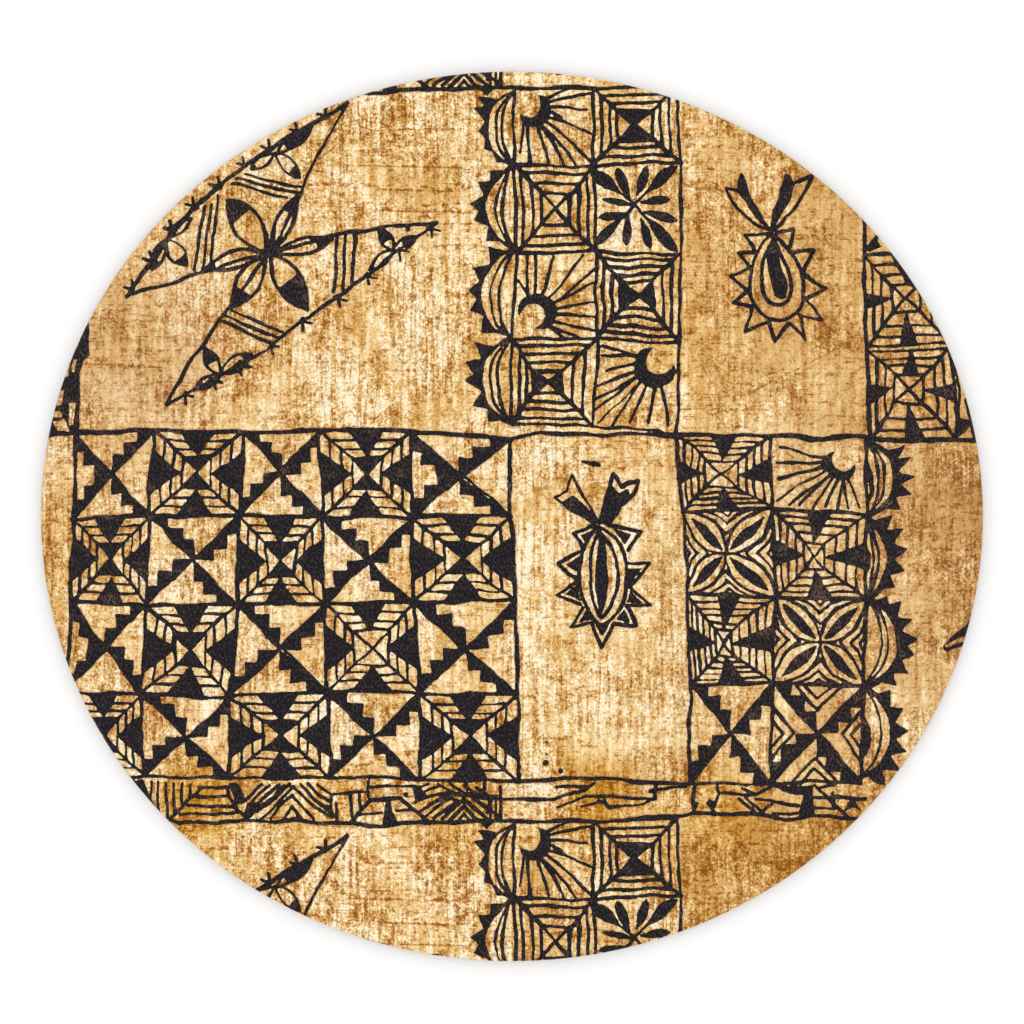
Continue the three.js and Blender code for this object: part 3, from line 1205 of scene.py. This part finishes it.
cloth = {
    # the dye from dark to pale: its place from 0 to 1, and its colour
    "dye": (
        (0.0, (132, 76, 15)), (0.2, (171, 115, 43)), (0.42, (208, 156, 82)), (0.64, (230, 189, 122)),
        (0.84, (250, 219, 162)), (1.0, (255, 244, 210)),
    ),
    "red": (180, 112, 82),  # a flush of red in some areas
    "rust": (150, 80, 14),  # beside the ink, and in the fine cracks
    "ink": (19, 20, 28),
    "inkThread": (66, 53, 47),
    "inkWorn": (104, 82, 66),
    "bare": (158, 136, 108),
    "bareDark": (116, 98, 76),
    "grain": (0.000634, 0.000657),  # metres between the fine columns and rows of the cloth
    "lamps": 1.07,  # how bright white cloth looks in the studio
    # how much each part adds to the dye's tone; even is what blotches and grain keep everywhere
    "tone": {"base": 0.11, "ribs": 1.15, "blotch": 1.2, "grain": 1.6, "even": 0.45, "weave": 0.05,
             "cracks": 0.36},
    # how far the red, the rust in cracks and the rust beside the ink cover the dye
    "cover": {"red": 0.5, "cracks": 0.42, "edge": 0.65},
    # cracks: half width, breaks along them, where they lie, strength
    "cracks": {
        "upright": (0.045, (0.34, 0.54), (0.42, 0.56), 0.75),
        "level": (0.04, (0.44, 0.58), (0.6, 0.46), 0.8),
        "crazed": (0.07, (0.46, 0.62), None, 0.85),
    },
    # folds that show as dark lines: ends in squares, and strength
    "folds": (
        (364, 131, 466, 130, 0.9), (344, 166, 462, 168, 1.0), (378, 190, 450, 192, 1.1),
        (372, 211, 476, 213, 1.1), (380, 370, 456, 372, 0.6), (84, 364, 168, 368, 0.8),
        (736, 400, 850, 342, 0.7), (953, 570, 972, 588, 0.8),
    ),
    # soft areas: place and size in squares, paleness, contrast, flush of red, wear of the ink, and
    # how vivid the dye is
    "areas": (
        (400, 190, 90, 0.66, 1.25, 0.0, 0.2, 1.0), (250, 235, 90, 0.57, 1.0, 0.1, 1.0, 1.0),
        (140, 370, 55, 0.47, 0.9, 0.85, 0.8, 0.9), (400, 360, 80, 0.64, 1.05, 0.0, 0.6, 1.0),
        (590, 180, 80, 0.66, 1.1, 0.0, 0.3, 1.02), (590, 360, 70, 0.66, 1.1, 0.0, 0.2, 1.02),
        (760, 260, 70, 0.43, 0.85, 0.0, 0.4, 0.97), (900, 330, 50, 0.46, 0.8, 0.0, 0.5, 0.97),
        (940, 500, 26, 0.19, 0.85, 0.1, 0.8, 0.93), (935, 620, 36, 0.32, 0.85, 0.0, 0.8, 0.93),
        (770, 600, 90, 0.58, 0.85, 0.0, 0.9, 0.93), (740, 740, 40, 0.66, 0.9, 0.0, 0.9, 0.97),
        (830, 115, 45, 0.28, 0.9, 0.0, 0.4, 1.0), (600, 620, 80, 0.64, 0.9, 0.0, 0.0, 1.0),
        (200, 600, 110, 0.68, 1.05, 0.0, 0.0, 0.98), (415, 620, 80, 0.77, 1.1, 0.0, 0.0, 1.0),
        (55, 560, 40, 0.36, 0.7, 0.2, 0.0, 1.0), (125, 560, 40, 0.66, 1.0, 0.0, 1.5, 1.0),
        (200, 802, 22, 0.38, 1.1, 0.0, 0.9, 1.12), (330, 802, 22, 0.43, 1.2, 0.0, 0.9, 1.12),
        (460, 802, 22, 0.37, 1.1, 0.0, 0.9, 1.12), (590, 802, 22, 0.3, 1.1, 0.0, 0.9, 1.12),
        (720, 802, 22, 0.31, 1.1, 0.0, 0.9, 1.12), (350, 890, 70, 0.65, 1.2, 0.0, 0.2, 1.0),
        (560, 900, 70, 0.6, 1.15, 0.0, 0.2, 1.0), (780, 870, 60, 0.32, 0.85, 0.1, 0.3, 1.0),
    ),
}


areaNames = ("paleness", "contrast", "flush", "wear", "vivid")


def spreadAreas(piece):
    # the areas' last five values at each point: their mean, each area counted by a bell curve of
    # its distance
    mesh = piece.data
    column, row = toChart(*read(mesh.vertices, "co", size=3).T[:2])
    x, y, size, *values = np.array(cloth["areas"]).T[:, :, None]
    near = np.exp(-((column - x) ** 2 + (row - y) ** 2) / (2 * size**2)) + 1e-9
    for name, value in zip(areaNames, values):
        store(mesh, name, (near * value).sum(0) / near.sum(0))


def knit(s, place):
    # the cloth's fine grain: the product of a wave across and a wave down, from -1 to 1
    x, y = (part * (2 * math.pi / gap) for part, gap in zip(s.parts(place), cloth["grain"]))
    return s.math("SINE", x + y * 0.5) * s.math("SINE", y)


def folds(s, place, broken):
    # each fold is dark where a square's distance from its line, with a little noise, is under 1.7
    column, row = toChart(*s.parts(place))
    row = s.math("MODULO", row - chart["top"], chart["repeat"]) + chart["top"] + (broken - 0.5) * 7
    total = 0.0
    for x0, y0, x1, y1, strength in cloth["folds"]:
        lean = (y1 - y0) / (x1 - x0)
        off = s.math("ABSOLUTE", row - column * lean - (y0 - x0 * lean))
        along = s.math("ABSOLUTE", column - (x0 + x1) / 2)
        reach = (x1 - x0) / 2
        total = s.within(off, 1.7, 0.2) * s.within(along, reach + 4, reach - 8) * strength + total
    return total * s.within(broken, 0.34, 0.54)


noises = {  # scale, detail, roughness and warp
    "blotch": (260, 4, 0.7, 0.4),
    "cloud": (62, 3, 0.6),
    "grain": (1900, 2, 0.75),
    "crazed": (400, 3, 0.68, 0.6),
    "broken": (640, 3, 0.75),
    "where": (70, 2),
    "specks": (900, 3, 0.78, 0.8),
}
streaks = {  # scale across and down, detail, roughness, warp, scale through the cloth, turn
    "ribs": (820, 60, 3, 0.6, 0.2),
    "upright": (430, 24, 2, 0.5),
    "level": (26, 420, 2, 0.6),
    "thread": (2600, 1500, 2, 0.6, 0.0, 1.0, 0.6),
}
cutThread = (500, 500, 3, 0.6, 0.0, 2400)  # the same for the cut edge


def barkCloth():
    s = Shader("printed_cloth")
    place = s.node("TexCoord", out=3)
    paleness, contrast, flush, wear, vivid, ink, deep = (
        s.node("Attribute", None, {"attribute_name": name}, out=2)
        for name in (*areaNames, "ink", "depth"))
    field = {name: s.noise(place, *values) for name, values in noises.items()}
    field.update({name: s.streaks(place, *values) for name, values in streaks.items()})
    blotch, cloud, grain, ribs = (field[name] - 0.5 for name in ("blotch", "cloud", "grain", "ribs"))
    where, broken = field["where"], field["broken"]
    weave = knit(s, place)
    # cracks: where a soft noise passes through its middle value, each kind in places of its own
    cracks = s.within(field["specks"], 0.53, 0.66) * s.within(where, 0.35, 0.6) * 0.5
    for name, (width, breaks, places, strength) in cloth["cracks"].items():
        crack = s.seam(field[name], width) * s.within(broken, *breaks)
        if places:
            crack = crack * s.within(where, *places)
        cracks = cracks + crack * strength
    cracks = cracks * contrast + folds(s, place, broken)
    # the dye's tone: how pale the area is, clouds and ribs, and blotches and grain where it is rough
    part, cover = cloth["tone"], cloth["cover"]
    rough = s.within(where, 0.35, 0.62) + part["even"]
    tone = cloud + ribs * part["ribs"] + (blotch * part["blotch"] + grain * part["grain"]) * rough
    tone = paleness + part["base"] + contrast * tone
    tone = tone + weave * part["weave"] - cracks * part["cracks"]
    stops = [(at, linear(*colour)) for at, colour in cloth["dye"]]
    ground = s.node("ValToRGB", {"Fac": tone}, {"stops": stops})
    ground = s.node("HueSaturation", {"Saturation": vivid, "Color": ground})
    red = flush * s.within(cloud, -0.12, 0.2) * cover["red"]
    ground = s.mix(red, ground, linear(*cloth["red"]))
    ground = s.mix(cracks * cover["cracks"], ground, linear(*cloth["rust"]))
    # a rusty edge just outside the ink
    edge = s.within(deep, -1.3, -0.3) * s.within(deep, -0.02, -0.12)
    edge = edge * s.within(grain + blotch, -0.2, 0.2) * cover["edge"]
    ground = s.mix(edge, ground, linear(*cloth["rust"]))
    # the ink shows the cloth's threads, and more of them where it is worn
    shown = s.within(field["thread"] + weave * 0.04 + wear * 0.03 + blotch * 0.25, 0.46, 0.66)
    painted = s.mix(shown, linear(*cloth["ink"]), linear(*cloth["inkThread"]))
    worn = s.within(blotch + wear * 0.09, 0.08, 0.24) * shown
    painted = s.mix(worn, painted, linear(*cloth["inkWorn"]))
    bump = (0.2, 0.00012, grain + weave * 0.25 + ribs * 0.5)
    return s.finish(s.mix(ink, ground, painted), 0.9, 0.15, bump)


def bareCloth():
    s = Shader("cut_cloth")
    thread = s.streaks(s.node("TexCoord", out=3), *cutThread)
    colour = s.mix(thread, linear(*cloth["bareDark"]), linear(*cloth["bare"]))
    return s.finish(colour, 0.95, 0.1, (0.4, 0.0002, thread))


depth = paintPrint()
print(f"print painted, {100 * (depth > 0).mean():.1f} % of the chart is black")
piece = makeSheet(depth)
layOut(piece)
spreadAreas(piece)
piece.data.materials.append(barkCloth())
piece.data.materials.append(bareCloth())
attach(piece, "root")
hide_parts("tapa_cloth")
print("finishes set")

# the studio

studio = {
    "width": 0.22065,  # of the picture, at that level
    "level": 0.002,  # height above the table
    "lens": 90,  # mm
    "sensor": 36,  # mm
    "up": 0.00094,  # the picture's middle lies this far above the oval's, along Y
    "floor": 3.0,  # metres along the table's sides
    "white": 0.95,  # the table's colour
    "sky": 1.09,
    "lamp": 0.4,  # watts
    "lampSize": 1.2,
    "lampPlace": (-0.15, 0.25, 1.1),
    "lampTilt": (-13, -8, 0),  # degrees
}


def makeStudio():
    scene = bpy.context.scene
    half = studio["floor"] / 2
    mesh = bpy.data.meshes.new("table")
    verts = [(-half, -half, 0), (half, -half, 0), (half, half, 0), (-half, half, 0)]
    mesh.from_pydata(verts, [], [(0, 1, 2, 3)])
    floor = bpy.data.objects.new("table", mesh)
    scene.collection.objects.link(floor)
    white = (studio["white"],) * 3
    mesh.materials.append(Shader("table_white").finish((*white, 1), 0.9, 0.1))
    world = bpy.data.worlds.new("studio")
    world.use_nodes = True
    sky = world.node_tree.nodes["Background"].inputs
    sky["Color"].default_value = (1, 1, 1, 1)
    sky["Strength"].default_value = studio["sky"]
    scene.world = world
    lamp = bpy.data.lights.new("softbox", "AREA")
    lamp.shape = "DISK"
    lamp.size = studio["lampSize"]
    lamp.energy = studio["lamp"]
    lampObject = bpy.data.objects.new("softbox", lamp)
    lampObject.location = studio["lampPlace"]
    lampObject.rotation_euler = [math.radians(a) for a in studio["lampTilt"]]
    scene.collection.objects.link(lampObject)
    camera = bpy.data.cameras.new("camera")
    camera.lens = studio["lens"]
    camera.sensor_width = studio["sensor"]
    cameraObject = bpy.data.objects.new("camera", camera)
    distance = studio["width"] / studio["sensor"] * studio["lens"]
    cameraObject.location = (0, studio["up"], studio["level"] + distance)
    scene.collection.objects.link(cameraObject)
    scene.camera = cameraObject
    scene.view_settings.view_transform = "Standard"
    print("studio set")


makeStudio()
